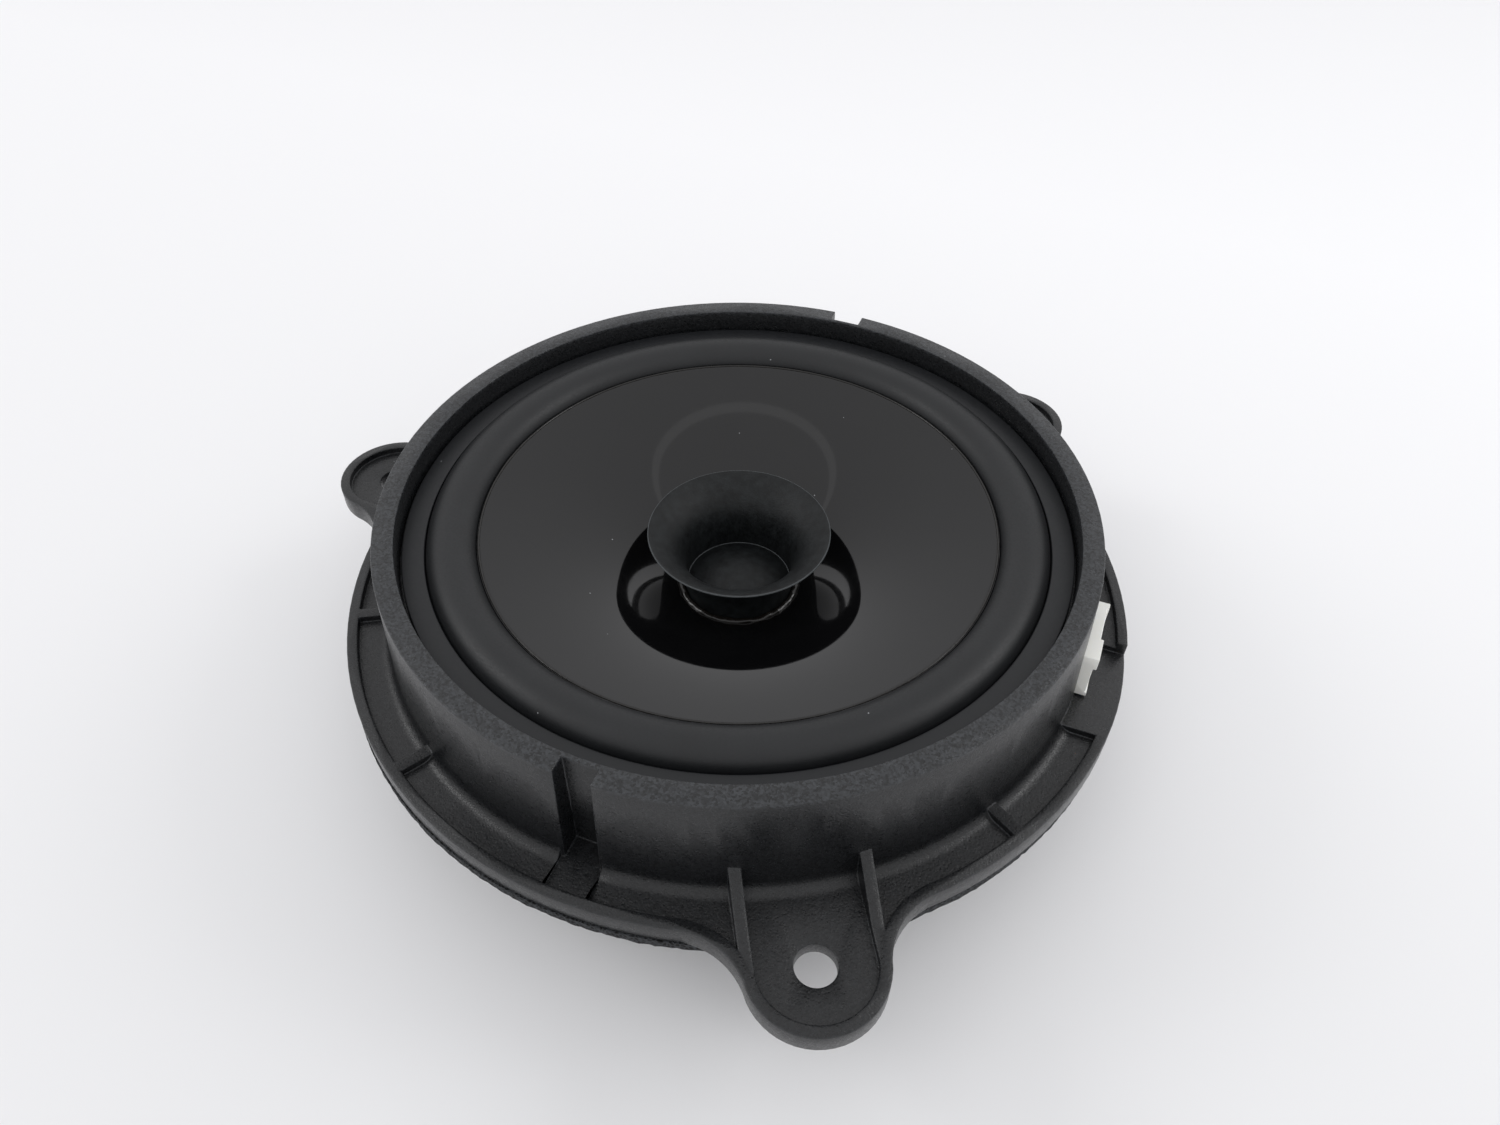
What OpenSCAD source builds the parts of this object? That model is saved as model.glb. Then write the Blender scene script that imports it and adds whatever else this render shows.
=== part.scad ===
// Full-range 165 mm door speaker in a one-piece frame and adapter.
// Origin: centre of the three mounting holes, on the flange's back face. +Z points to the listener,
// +X points to the connector.

/* [Mounting flange] */
// Radius of the circle through the lug holes
lug_pitch_r = 100; // [99:0.5:102]
// Radius of each lug hole
lug_hole_r = 4.2; // [3:0.1:5]
// Radius of each lug's rounded end
lug_r = 14.1; // [13:0.1:15]
// Radius of the hollow fillet between lug and flange
lug_fillet_r = 16; // [14:0.5:18]
// Outer radius of the round flange
flange_r = 93.6; // [93:0.1:95]
// Height of the flange's raised border and webs
flange_t = 5.3; // [4.8:0.1:6]
// Depth of the pockets between the webs
pocket_depth = 1.8; // [1:0.1:2.4]
// Width of the raised border
border_w = 2.4; // [2:0.1:3]
// Width of each radial web
web_w = 2.7; // [2:0.1:3.5]

/* [Wall and rim] */
// Height of the rim's front face above the flange's back
front_z = 31; // [30:0.5:34]
// Outer radius of the rim at the front
rim_r = 82.5; // [82:0.1:83]
// Outer radius of the wall at its foot
wall_foot_r = 83.6; // [83.2:0.1:84]
// Inner radius of the rim
bore_r = 77.7; // [77.4:0.1:78]
// Radius of the cove where the wall meets the flange
cove_r = 3; // [2:0.5:3.5]
// Width of the two key slots in the wall
slot_w = 7.8; // [6:0.2:9]
// Thickness of wall left behind each key slot
slot_skin = 0.9; // [0.8:0.1:1.6]
// Width of the shallow channel in front of each key slot
channel_w = 9.3; // [9.2:0.1:10]

/* [Lug ribs] */
// Distance of each gusset rib from the lug's middle line
rib_off = 12.8; // [12:0.1:13.5]
// Thickness of each gusset rib
rib_w = 2.5; // [2:0.1:3]
// Height of a rib's top where it leaves the wall
rib_top_z = 11.4; // [9:0.1:14]
// Distance from the axis at which a rib's slope ends
rib_end_r = 95; // [92:0.5:97]

/* [Cone and suspension] */
// Radius of the cone's outer edge
cone_r = 60.3; // [60:0.1:60.5]
// Height of the cone's outer edge
cone_edge_z = 25.2; // [25:0.1:25.4]
// Straight part of the fall from the cone's edge to its neck
cone_drop = 15.3; // [15:0.1:15.6]
// Curved part of that fall, which steepens towards the neck
cone_curve = 6.7; // [6.4:0.1:7]
// How late the curved part comes, 1 is straight
cone_power = 2.9; // [2.7:0.05:3.1]
// Wall thickness of the cone
cone_t = 0.7; // [0.6:0.05:0.7]
// Height of the surround's roll above its flange
roll_h = 5; // [4:0.1:5.4]
// Thickness of the surround's rubber
rubber_t = 0.6; // [0.5:0.05:0.7]
// Radius of the whizzer cone's mouth
whizzer_r = 21.9; // [20:0.1:23]
// Height of the whizzer cone's mouth
whizzer_z = 20.4; // [18:0.1:21]
// Curve of the whizzer cone's side, 1 is straight
whizzer_power = 4; // [3:0.1:5]
// Height of the dust cap's dome
cap_h = 3.2; // [2:0.1:4]

/* [Motor] */
// Radius of the pole
pole_r = 12; // [11.8:0.05:12.1]
// Inner radius of the top plate
gap_r = 13.8; // [13.7:0.05:14.2]
// Outer radius of the ring magnet
magnet_r = 42; // [41:0.5:44]
// Thickness of the ring magnet
magnet_t = 14; // [12:0.5:18]
// Thickness of the top plate and of the yoke's plate
plate_t = 5; // [4:0.5:6]
// Height of the voice coil's winding
coil_h = 9.6; // [8:0.2:11]

/* [Connector] */
// Height of the connector's top
socket_top_z = 17; // [16:0.5:18]
// Distance from the axis to the connector's front face
socket_face_x = 85.6; // [85:0.1:86]

/* [Hidden] */

$fn = 144;
eps = 0.01;
moulding = "#2f3032";
lug_angles = [60, 180, 300];
web_angles = [30, 120, 150, 210, 240, 330];
arm_angles = [30, 90, 150, 210, 270, 330];
floor_z = flange_t - pocket_depth;

// The flat for the plug has no border: it ramps down towards +Y.
flat_y0 = -16;
flat_y1 = 12.5;
flat_low_z = 1.9;

// Basket, in radius and height
seat_z = 23.4;
seat_r = 71;
ledge_t = 2.5;
skirt_w = 3.6;
skirt_r = 71.2;
hub_r = 45.5;
hub_z = -12.5;
hub_floor_t = 2.3;
hub_bore_r = 27;
spider_z = -4.6;
spider_seat_r = 38.2;
window_low_z = 0;
window_high_z = 17.5;
window_angle = 42;

// Screws that hold the motor
screw_circle_r = 33;
screw_r = 1.4;
screw_head_r = 2.7;
screw_head_h = 1.6;
screw_angles = [45, 135, 225, 315];

// Voice coil, between pole and top plate
former_in_r = 12.45;
former_out_r = 12.8;
former_top_z = 3.4;
coil_out_r = 13.3;
coil_mid_z = hub_z - plate_t / 2;
fit = 0.04;
neck_r = 14;

magnet_top_z = hub_z - plate_t;
magnet_low_z = magnet_top_z - magnet_t;
back_z = magnet_low_z - plate_t;

// Connector, in Y and Z
socket_y0 = -5.5;
socket_y1 = 12.4;
socket_z0 = 4.4;
socket_back_x = 76;
cavity_y0 = -3.6;
cavity_y1 = 10.7;
cavity_z0 = 6.2;
cavity_z1 = 15.5;
cavity_back_x = 78.4;
blade_t = 0.8;
blade_y = [0.6, 6.5];
blade_h = [6.3, 4.8];
blade_z = 10.8;
blade_tip_x = 84;
blade_tail_x = 72.5;
tail_h = 3;

// Tinsel leads: from each blade's tail through a basket window to the cone
lead_r = 0.8;
lead_sides = 8;
eyelet_r = 1.9;
eyelet_t = 0.8;
route_positive = [[72.5, 0.6, 10.8], [70.5, 0.6, 10.8], [68, 0.6, 10], [65, 0.4, 8.9],
    [61, 0.1, 7.8], [57, -0.3, 7.3], [53, -0.8, 7.5], [49, -1.2, 8.2],
    [45, -1.5, 9.4], [41, -1.8, 10.5], [37.5, -2, 11.8], [34.6, -2, 12.8]];
route_negative = [[72.5, 6.5, 10.8], [70.5, 6.5, 10.8], [68, 6.5, 10], [65, 6.7, 8.9],
    [61, 7, 7.8], [57, 7.4, 7.3], [53, 7.8, 7.5], [49, 8.2, 8.2],
    [45, 8.5, 9.4], [41, 8.8, 10.5], [37.5, 9, 11.6], [34.6, 9, 12.8]];

// Centre of the fillet circle beside a lug, at angle 0. It crosses the flange and the lug by a hair.
fillet_cross = 0.05;
fillet_far_r = flange_r + lug_fillet_r - fillet_cross;
fillet_near_r = lug_r + lug_fillet_r - fillet_cross;
fillet_a = acos((lug_pitch_r ^ 2 + fillet_far_r ^ 2 - fillet_near_r ^ 2)
    / (2 * lug_pitch_r * fillet_far_r));
fillet_x = fillet_far_r * cos(fillet_a);
fillet_y = fillet_far_r * sin(fillet_a);

// Height of the cone's front surface at radius r
function cone_part(r) = (cone_r - r) / (cone_r - neck_r);
function cone_z(r) = cone_edge_z - cone_drop * cone_part(r) - cone_curve * cone_part(r) ^ cone_power;
function blend(a, b, s) = a + (b - a) * s;

module tube(r_out, r_in, z0, z1) {
    difference() {
        translate([0, 0, z0]) cylinder(r = r_out, h = z1 - z0);
        translate([0, 0, z0 - 1]) cylinder(r = r_in, h = z1 - z0 + 2);
    }
}

// Round flange with its lugs, the outline drawn in by inset
module plate(inset, z0, z1) {
    translate([0, 0, z0]) linear_extrude(z1 - z0) {
        circle(r = flange_r - inset);
        for (a = lug_angles) rotate(a) lug_outline(inset);
    }
}

module lug_outline(inset) {
    translate([lug_pitch_r, 0]) circle(r = lug_r - inset);
    difference() {
        polygon([[0, 0], [fillet_x, -fillet_y], [lug_pitch_r, 0], [fillet_x, fillet_y]]);
        for (side = [-1, 1]) translate([fillet_x, side * fillet_y]) circle(r = lug_fillet_r + inset);
    }
}

// Bar along a radius, middle at angle 0
module radial_bar(r0, r1, w, z0, z1) {
    translate([r0, -w / 2, z0]) cube([r1 - r0, w, z1 - z0]);
}

module pockets() {
    difference() {
        plate(border_w, floor_z, flange_t + 1);
        for (a = web_angles) rotate([0, 0, a]) radial_bar(bore_r, flange_r, web_w, 0, flange_t + 2);
        for (a = lug_angles, side = [-1, 1]) {
            rotate([0, 0, a]) translate([0, side * rib_off, 0])
                radial_bar(bore_r - 3, lug_pitch_r + lug_r, rib_w, 0, flange_t + 2);
        }
        translate([bore_r - 3, flat_y0, 0]) cube([flange_r, flat_y1 - flat_y0, flange_t + 2]);
    }
}

// Ramped flat in front of the connector
module plug_flat() {
    difference() {
        translate([bore_r, 0, 0]) rotate([90, 0, 90]) linear_extrude(flange_r)
            polygon([[flat_y0, flange_t], [flat_y1, flat_low_z],
                [flat_y1, flange_t + 4], [flat_y0, flange_t + 4]]);
        translate([0, 0, -1]) cylinder(r = wall_foot_r, h = front_z);
    }
}

module wall() {
    cove_x = wall_foot_r + cove_r;
    cove_z = floor_z + cove_r;
    cove = [for (a = [180 : 15 : 270]) [cove_x + cove_r * cos(a), cove_z + cove_r * sin(a)]];
    rotate_extrude()
        polygon(concat([[bore_r, 0], [bore_r, front_z], [rim_r, front_z]], cove, [[cove_x, 0]]));
}

module lug_ribs() {
    for (a = lug_angles, side = [-1, 1]) {
        rotate([90, 0, a]) translate([0, 0, -side * rib_off - rib_w / 2]) linear_extrude(rib_w)
            polygon([[bore_r + 1, 1], [bore_r + 1, rib_top_z + 1], [rim_r - 0.5, rib_top_z],
                [rib_end_r, flange_t], [rib_end_r, 1]]);
    }
}

// Skirt, spider seat and hub of the basket
module basket() {
    fall = seat_z - ledge_t - spider_z;
    rotate_extrude() polygon([[seat_r, seat_z], [bore_r + 1, seat_z],
        [bore_r + 1, seat_z - ledge_t], [skirt_r + skirt_w, seat_z - ledge_t],
        [skirt_r + skirt_w - fall - 3.8, spider_z - 3.8], [hub_r, hub_z], [hub_bore_r, hub_z],
        [hub_bore_r, hub_z + hub_floor_t], [spider_seat_r, hub_z + hub_floor_t],
        [spider_seat_r, spider_z], [skirt_r - fall, spider_z],
        [skirt_r, seat_z - ledge_t], [seat_r, seat_z - ledge_t]]);
    for (a = arm_angles) {
        rotate([90, 0, a]) translate([0, 0, -web_w / 2]) linear_extrude(web_w)
            polygon([[hub_r - 1, -9], [skirt_r, seat_z - ledge_t - 2], [bore_r + 1, seat_z - ledge_t],
                [bore_r + 1, 7], [55, -6], [hub_r - 1, hub_z + 0.5]]);
    }
}

module windows() {
    for (a = arm_angles) {
        rotate([0, 0, a - 30 - window_angle / 2]) rotate_extrude(angle = window_angle)
            polygon([[47, window_low_z], [58, window_low_z], [75.5, window_high_z], [64, window_high_z]]);
    }
}

module key_slots() {
    for (a = [90, 270]) rotate([0, 0, a]) {
        radial_bar(bore_r + slot_skin, flange_r - border_w - 3, slot_w, floor_z - 0.4, front_z + 1);
        radial_bar(wall_foot_r, flange_r - border_w, channel_w, floor_z - 0.4, flange_t + 1);
    }
}

module frame() {
    color(moulding) difference() {
        union() {
            difference() {
                plate(0, 0, flange_t);
                translate([0, 0, -1]) cylinder(r = bore_r + 1, h = flange_t + 2);
                pockets();
            }
            wall();
            lug_ribs();
            basket();
        }
        key_slots();
        windows();
        plug_flat();
        for (a = lug_angles) {
            rotate([0, 0, a]) translate([lug_pitch_r, 0, -1]) cylinder(r = lug_hole_r, h = flange_t + 2);
        }
        for (a = screw_angles) {
            rotate([0, 0, a]) translate([screw_circle_r, 0, hub_z - 1])
                cylinder(r = screw_r + 0.1, h = hub_floor_t + 2);
        }
        translate([socket_back_x - 1, socket_y0 - fit, socket_z0 - fit])
            cube([12, socket_y1 - socket_y0 + 2 * fit, socket_top_z - socket_z0 + 2 * fit]);
    }
}

module rear_gasket() {
    color("#18181a") tube(flange_r + 0.3, 80.5, -2.5, 0);
}

module gasket_ring() {
    color("#37383a") rotate_extrude() polygon([[71.95, 24.12], [77.1, 24.12], [77.1, 25.4], [76.9, 25.6],
        [72.25, 25.6], [71.95, 25.3]]);
}

module surround() {
    mid_r = 66.2;
    half_w = 5.7;
    base_z = 24.1;
    lip_r = 59.2;
    lip_z = cone_z(lip_r) - cone_t - 0.1;
    outer = [for (a = [180 : -9 : 0]) [mid_r + half_w * cos(a), base_z + roll_h * sin(a)]];
    inner = [for (a = [0 : 9 : 180])
        [mid_r + (half_w - rubber_t) * cos(a), base_z - rubber_t + roll_h * sin(a)]];
    color("#303133") rotate_extrude() polygon(concat([[lip_r, lip_z]], outer,
        [[77, base_z], [77, seat_z + eps]], inner, [[lip_r, lip_z - rubber_t]]));
}

module edge_adhesive() {
    color("#1c1c1d") rotate_extrude() polygon([[59.6, cone_z(59.6) + 0.02], [cone_r, cone_edge_z + 0.02],
        [cone_r, cone_edge_z + 0.2], [59.8, cone_z(59.8) + 0.2]]);
}

module cone() {
    steps = 20;
    top = [for (i = [0 : steps]) let(r = blend(cone_r, neck_r, i / steps)) [r, cone_z(r)]];
    under = [for (i = [steps : -1 : 0]) let(r = blend(cone_r, neck_r, i / steps)) [r, cone_z(r) - cone_t]];
    collar_in_r = neck_r - 0.7;
    color("#1d1d1f") rotate_extrude() polygon(concat(top,
        [[collar_in_r, cone_z(neck_r)], [collar_in_r, 1], [neck_r, 1]], under));
}

module neck_adhesive() {
    foot_z = cone_z(neck_r) + 0.05;
    color("#141414") rotate_extrude() polygon([[13.36, foot_z], [neck_r, foot_z],
        [14.9, cone_z(14.9) + 0.03], [14.7, foot_z + 0.9], [14.1, foot_z + 1.3], [13.36, foot_z + 1.3]]);
}

module whizzer_cone() {
    steps = 14;
    wall_t = 0.5;
    low_z = 3.6;
    in_r = former_out_r + fit;
    inner = [for (i = [0 : steps]) let(s = i / steps)
        [in_r - 0.1 + (whizzer_r - wall_t - in_r) * s ^ whizzer_power, blend(low_z, whizzer_z, s)]];
    outer = [for (i = [steps : -1 : 0]) let(s = i / steps)
        [in_r + wall_t - 0.1 + (whizzer_r - wall_t - in_r) * s ^ whizzer_power,
            blend(low_z, whizzer_z, s)]];
    color("#26282a") rotate_extrude() polygon(concat([[in_r, 1.4], [in_r, low_z - 0.1]], inner, outer,
        [[in_r + 0.4, low_z - 0.1], [in_r + 0.4, 1.4]]));
}

module dust_cap() {
    steps = 10;
    rim = 12.6;
    t = 0.5;
    low_z = former_top_z + 0.05;
    top = [for (i = [0 : steps]) let(r = rim * i / steps) [r, low_z + t + cap_h * (1 - (r / rim) ^ 2)]];
    under = [for (i = [steps : -1 : 0]) let(r = (rim - t) * i / steps)
        [r, low_z + cap_h * (1 - (r / (rim - t)) ^ 2)]];
    color("#232426") rotate_extrude() polygon(concat(top, [[rim, low_z]], under));
}

module voice_coil_former() {
    color("#b98a4a") tube(former_out_r, former_in_r, coil_mid_z - coil_h / 2 - 0.5, former_top_z);
}

module voice_coil() {
    color("#b3591f")
        tube(coil_out_r, former_out_r + eps, coil_mid_z - coil_h / 2, coil_mid_z + coil_h / 2);
}

module spider() {
    waves = 5;
    per_wave = 10;
    in_r = 14.2;
    out_r = 38;
    wave_h = 1.1;
    cloth_t = 0.6;
    mid_z = spider_z + cloth_t;
    top = [for (i = [0 : waves * per_wave])
        [blend(in_r, out_r, i / (waves * per_wave)), mid_z + wave_h * sin(360 * i / per_wave)]];
    under = [for (i = [waves * per_wave : -1 : 0])
        [blend(in_r, out_r, i / (waves * per_wave)), mid_z - cloth_t + wave_h * sin(360 * i / per_wave)]];
    neck = former_out_r + fit;
    color("#b88f4d") rotate_extrude() polygon(concat([[neck, mid_z - 1.6], [neck, mid_z + 0.8],
        [neck + 0.6, mid_z + 0.8], [neck + 0.6, mid_z]], top, [[41.4, mid_z], [41.4, spider_z + eps]],
        under, [[neck + 0.6, mid_z - cloth_t], [neck + 0.6, mid_z - 1.6]]));
}

// Ring with chamfered outer edges
module chamfered_ring(r_in, r_out, z0, z1, c) {
    rotate_extrude() polygon([[r_in, z0], [r_out - c, z0], [r_out, z0 + c], [r_out, z1 - c],
        [r_out - c, z1], [r_in, z1]]);
}

module top_plate() {
    color("#8d9093") difference() {
        chamfered_ring(gap_r, 40, magnet_top_z, hub_z, 0.4);
        for (a = screw_angles) {
            rotate([0, 0, a]) translate([screw_circle_r, 0, magnet_top_z - 1])
                cylinder(r = screw_r + 0.03, h = plate_t + 2);
        }
    }
}

module magnet() {
    color("#3a3a3c") chamfered_ring(19, magnet_r, magnet_low_z, magnet_top_z, 1);
}

module yoke() {
    color("#8d9093") rotate_extrude() polygon([[0, back_z], [38.4, back_z], [39, back_z + 0.6],
        [39, magnet_low_z - 0.4], [38.6, magnet_low_z], [pole_r + 2, magnet_low_z], [pole_r, magnet_low_z + 2],
        [pole_r, hub_z - 0.5], [pole_r - 0.5, hub_z], [0, hub_z]]);
}

module motor_screws() {
    head_z = hub_z + hub_floor_t;
    color("#a9abad") for (a = screw_angles)
        rotate([0, 0, a]) translate([screw_circle_r, 0, 0]) difference() {
        union() {
            translate([0, 0, head_z]) cylinder(r = screw_head_r, h = screw_head_h);
            translate([0, 0, magnet_top_z + 0.5]) cylinder(r = screw_r, h = head_z - magnet_top_z);
        }
        for (turn = [0, 90]) {
            rotate([0, 0, turn]) translate([-1.5, -0.3, head_z + 0.6]) cube([3, 0.6, screw_head_h]);
        }
    }
}

module connector_housing() {
    color("#e9eae6") difference() {
        union() {
            translate([socket_back_x, socket_y0, socket_z0])
                cube([socket_face_x - socket_back_x, socket_y1 - socket_y0, socket_top_z - socket_z0]);
            // Collar that the plug's latch passes over
            translate([84.2, socket_y0, 13.6]) cube([2.1, 6.4, socket_top_z - 13.6]);
            // Foot and end beads round the mouth
            translate([84.6, socket_y0, socket_z0]) cube([1.4, socket_y1 - socket_y0, 1.2]);
            translate([84.6, socket_y1 - 1.4, socket_z0]) cube([1.4, 1.4, socket_top_z - socket_z0]);
        }
        translate([cavity_back_x, cavity_y0, cavity_z0])
            cube([12, cavity_y1 - cavity_y0, cavity_z1 - cavity_z0]);
        for (i = [0, 1]) {
            translate([socket_back_x - 1, blade_y[i] - blade_t / 2 - fit, blade_z - blade_h[i] / 2 - fit])
                cube([4, blade_t + 2 * fit, blade_h[i] + 2 * fit]);
        }
    }
}

// Tab in the socket with a narrower tail behind the wall
module blade(i) {
    color("#c8b273") translate([0, blade_y[i] - blade_t / 2, 0]) {
        translate([socket_back_x - 0.5, 0, blade_z - blade_h[i] / 2])
            cube([blade_tip_x - socket_back_x + 0.5, blade_t, blade_h[i]]);
        translate([blade_tail_x, 0, blade_z - tail_h / 2])
            cube([socket_back_x - blade_tail_x, blade_t, tail_h]);
    }
}

module terminal_positive() {
    blade(0);
}

module terminal_negative() {
    blade(1);
}

// Round tube swept along a route
module sweep(route, r, sides) {
    n = len(route);
    function unit(v) = v / norm(v);
    function heading(i) = unit(route[min(i + 1, n - 1)] - route[max(i - 1, 0)]);
    function across(i) = unit(cross(heading(i), [0, 0, 1]));
    function ring(i) = [for (k = [0 : sides - 1])
        route[i] + r * (cos(360 * k / sides) * across(i)
            + sin(360 * k / sides) * cross(across(i), heading(i)))];
    points = [for (i = [0 : n - 1]) each ring(i)];
    sides_faces = [for (i = [0 : n - 2], k = [0 : sides - 1])
        [i * sides + k, i * sides + (k + 1) % sides,
            (i + 1) * sides + (k + 1) % sides, (i + 1) * sides + k]];
    first = [for (k = [sides - 1 : -1 : 0]) k];
    last = [for (k = [0 : sides - 1]) (n - 1) * sides + k];
    polyhedron(points, concat(sides_faces, [first, last]));
}

module lead_positive() {
    color("#a65a2a") sweep(route_positive, lead_r, lead_sides);
}

module lead_negative() {
    color("#2b2b2d") sweep(route_negative, lead_r, lead_sides);
}

module cone_eyelets() {
    color("#c8b273") for (route = [route_positive, route_negative]) {
        end = route[len(route) - 1];
        r = norm([end[0], end[1]]) - 1.4;
        slope = (cone_drop + cone_power * cone_curve * cone_part(r) ^ (cone_power - 1)) / (cone_r - neck_r);
        rotate([0, 0, atan2(end[1], end[0])]) translate([r, 0, cone_z(r) - cone_t - 0.12])
            rotate([0, -atan(slope), 0]) translate([0, 0, -eyelet_t]) cylinder(r = eyelet_r, h = eyelet_t);
    }
}

frame();
rear_gasket();
gasket_ring();
surround();
edge_adhesive();
cone();
neck_adhesive();
whizzer_cone();
dust_cap();
voice_coil_former();
voice_coil();
spider();
top_plate();
magnet();
yoke();
motor_screws();
connector_housing();
terminal_positive();
terminal_negative();
lead_positive();
lead_negative();
cone_eyelets();
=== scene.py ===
import math

import bmesh
import bpy
from mathutils import Matrix, Quaternion, Vector, noise
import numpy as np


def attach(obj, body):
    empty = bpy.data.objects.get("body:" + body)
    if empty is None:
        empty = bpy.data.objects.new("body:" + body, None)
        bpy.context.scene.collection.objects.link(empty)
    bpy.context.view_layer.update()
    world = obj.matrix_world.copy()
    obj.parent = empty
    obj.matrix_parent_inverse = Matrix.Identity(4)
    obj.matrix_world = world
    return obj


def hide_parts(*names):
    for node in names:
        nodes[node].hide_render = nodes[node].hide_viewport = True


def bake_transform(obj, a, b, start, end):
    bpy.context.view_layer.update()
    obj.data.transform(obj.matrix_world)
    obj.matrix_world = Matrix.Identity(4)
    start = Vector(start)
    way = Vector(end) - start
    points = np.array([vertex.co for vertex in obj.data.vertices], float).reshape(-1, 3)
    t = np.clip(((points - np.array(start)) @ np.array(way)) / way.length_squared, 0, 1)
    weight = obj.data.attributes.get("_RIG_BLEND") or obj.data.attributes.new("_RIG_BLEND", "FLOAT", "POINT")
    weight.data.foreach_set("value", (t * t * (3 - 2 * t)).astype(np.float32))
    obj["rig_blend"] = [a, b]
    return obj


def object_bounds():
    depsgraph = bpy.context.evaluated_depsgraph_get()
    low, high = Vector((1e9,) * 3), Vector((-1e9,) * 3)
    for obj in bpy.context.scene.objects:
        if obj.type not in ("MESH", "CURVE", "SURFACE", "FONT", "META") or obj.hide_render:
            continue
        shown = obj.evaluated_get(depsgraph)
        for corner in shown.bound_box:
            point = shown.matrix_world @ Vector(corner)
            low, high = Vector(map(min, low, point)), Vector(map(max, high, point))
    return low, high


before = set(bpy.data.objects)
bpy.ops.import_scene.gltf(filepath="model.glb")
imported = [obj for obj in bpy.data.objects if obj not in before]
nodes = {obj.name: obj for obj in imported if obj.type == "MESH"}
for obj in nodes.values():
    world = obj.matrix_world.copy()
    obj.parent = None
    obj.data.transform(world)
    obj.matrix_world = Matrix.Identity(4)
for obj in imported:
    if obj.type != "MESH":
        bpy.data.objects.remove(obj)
bpy.context.view_layer.update()
cadLow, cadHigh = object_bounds()
mm = 0.001
print("frame loaded:", len(nodes), "nodes")


# tools for looks

def linear(hexColour):  # sRGB hex to linear light
    parts = [int(hexColour[i:i + 2], 16) / 255 for i in (1, 3, 5)]
    return [p / 12.92 if p <= 0.04045 else ((p + 0.055) / 1.055) ** 2.4 for p in parts] + [1.0]


def addNode(tree, kind, settings=None, links=None):  # one shader node, its values and what feeds it
    node = tree.nodes.new("ShaderNode" + kind)
    for key, value in (settings or {}).items():
        if isinstance(key, int) or key in node.inputs:
            node.inputs[key].default_value = value
        else:
            setattr(node, key, value)
    for key, socket in (links or {}).items():
        tree.links.new(socket, node.inputs[key])
    return node


def newSurface(name, values):  # a material with its shader, tree and the object's own coordinates
    made = bpy.data.materials.new(name)
    made.use_nodes = True
    tree = made.node_tree
    shader = tree.nodes["Principled BSDF"]
    for key, value in values.items():
        shader.inputs[key].default_value = value
    return made, tree, shader, addNode(tree, "TexCoord").outputs["Object"]


def grain(size):  # texture scale for features of that many millimetres
    return 1 / (size * mm)


def dusted(tree, at, colour, share):  # a few pale dust specks of about a third of a millimetre
    cells = addNode(tree, "TexVoronoi", {"Scale": grain(5)}, {"Vector": at})
    chosen = addNode(tree, "SeparateColor", {}, {"Color": cells.outputs["Color"]})
    near = addNode(tree, "MapRange", {"From Min": 0.025, "From Max": 0.04, "To Min": 1, "To Max": 0},
                   {"Value": cells.outputs["Distance"]})
    some = addNode(tree, "Math", {"operation": "LESS_THAN", 1: share}, {0: chosen.outputs[0]})
    speck = addNode(tree, "Math", {"operation": "MULTIPLY"}, {0: near.outputs[0], 1: some.outputs[0]})
    return addNode(tree, "Mix", {"data_type": "RGBA", 7: linear("#8f9194")},
                   {0: speck.outputs[0], 6: colour}).outputs[2]


def softEdges(tree, width):  # rounded normal for sharp mould edges, and how close a point is to an edge
    rounded = addNode(tree, "Bevel", {"samples": 6, "Radius": width * mm})
    flat = addNode(tree, "NewGeometry")
    bend = addNode(tree, "VectorMath", {"operation": "DOT_PRODUCT"},
                   {0: rounded.outputs[0], 1: flat.outputs["Normal"]})
    edge = addNode(tree, "MapRange", {"From Min": 0.78, "From Max": 0.985, "To Min": 1, "To Max": 0},
                   {"Value": bend.outputs["Value"]})
    return rounded.outputs[0], edge.outputs[0]


# materials

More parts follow.
